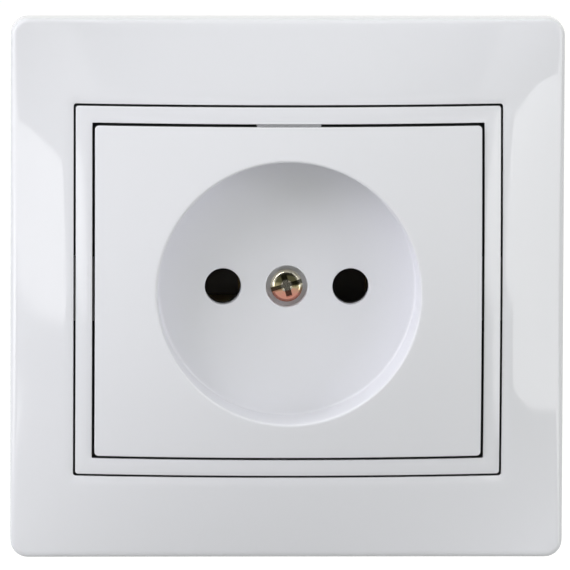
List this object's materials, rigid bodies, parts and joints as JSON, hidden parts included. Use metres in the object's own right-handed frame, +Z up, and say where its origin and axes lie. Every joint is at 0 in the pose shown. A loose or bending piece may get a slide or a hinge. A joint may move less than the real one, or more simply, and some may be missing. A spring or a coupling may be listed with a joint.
{
  "type": "flush wall socket",
  "caption": "Square white flush wall socket for round plug pins, with a domed frame, a trim ring, a round plug well and spreader claws behind its mounting plate.",
  "frame": {"origin": "middle of the wall plane, on the axis of the plug well and midway between the box screw slots", "axes": "+X right and +Z up as seen from the room, +Y into the wall, so the front faces -Y"},
  "size_m": [0.0822, 0.0364, 0.0806],
  "materials": {
    "frame_white": "polished white moulding",
    "trim_white": "satin white moulding",
    "cover_white": "fine satin white moulding",
    "yellow_zinc": "bright yellow zinc plating",
    "plate_steel": "bright zinc plated sheet",
    "base_moulding": "plain dark moulding",
    "cap_moulding": "plain dark moulding",
    "contact_brass": "rolled brass strip",
    "clamp_steel": "zinc plated sheet",
    "screw_steel": "zinc plated",
    "rivet_metal": "plain drawn metal",
    "claw_steel": "zinc plated stamping"
  },
  "bodies": {
    "mechanism": {"outer_frame": "frame_white", "trim_ring": "trim_white", "socket_cover": "cover_white", "cover_screw": "yellow_zinc", "support_plate": "plate_steel", "base": "base_moulding", "cover_nut": "yellow_zinc", "contact_left": "contact_brass", "contact_right": "contact_brass", "terminal_clamp_left": "clamp_steel", "terminal_clamp_right": "clamp_steel", "terminal_screw_left": "screw_steel", "terminal_screw_right": "screw_steel", "contact_cap": "cap_moulding", "cap_screw_upper": "screw_steel", "cap_screw_lower": "screw_steel", "rivet_upper_left": "rivet_metal", "rivet_upper_right": "rivet_metal", "rivet_lower_left": "rivet_metal", "rivet_lower_right": "rivet_metal", "claw_pin_upper": "screw_steel", "claw_pin_lower": "screw_steel"},
    "claw_upper": {"claw_upper": "claw_steel"},
    "claw_lower": {"claw_lower": "claw_steel"},
    "claw_screw_upper": {"claw_screw_upper": "yellow_zinc"},
    "claw_screw_lower": {"claw_screw_lower": "yellow_zinc"}
  },
  "joints": [
    {"name": "upper_screw_turn", "type": "hinge", "parent": "mechanism", "child": "claw_screw_upper", "pos_m": [0, 0, 0.026], "axis": [0, 1, 0], "range_deg": [0, 1800]},
    {"name": "upper_claw_swing", "type": "hinge", "parent": "mechanism", "child": "claw_upper", "pos_m": [0, 0.004, 0.0195], "axis": [1, 0, 0], "range_deg": [0, 22]},
    {"name": "lower_screw_turn", "type": "hinge", "parent": "mechanism", "child": "claw_screw_lower", "pos_m": [0, 0, -0.026], "axis": [0, 1, 0], "range_deg": [0, 1800]},
    {"name": "lower_claw_swing", "type": "hinge", "parent": "mechanism", "child": "claw_lower", "pos_m": [0, 0.004, -0.0195], "axis": [-1, 0, 0], "range_deg": [0, 22]}
  ],
  "couplings": [
    {"joint": "upper_claw_swing", "follows": "upper_screw_turn", "ratio": 0.012222},
    {"joint": "lower_claw_swing", "follows": "lower_screw_turn", "ratio": 0.012222}
  ]
}
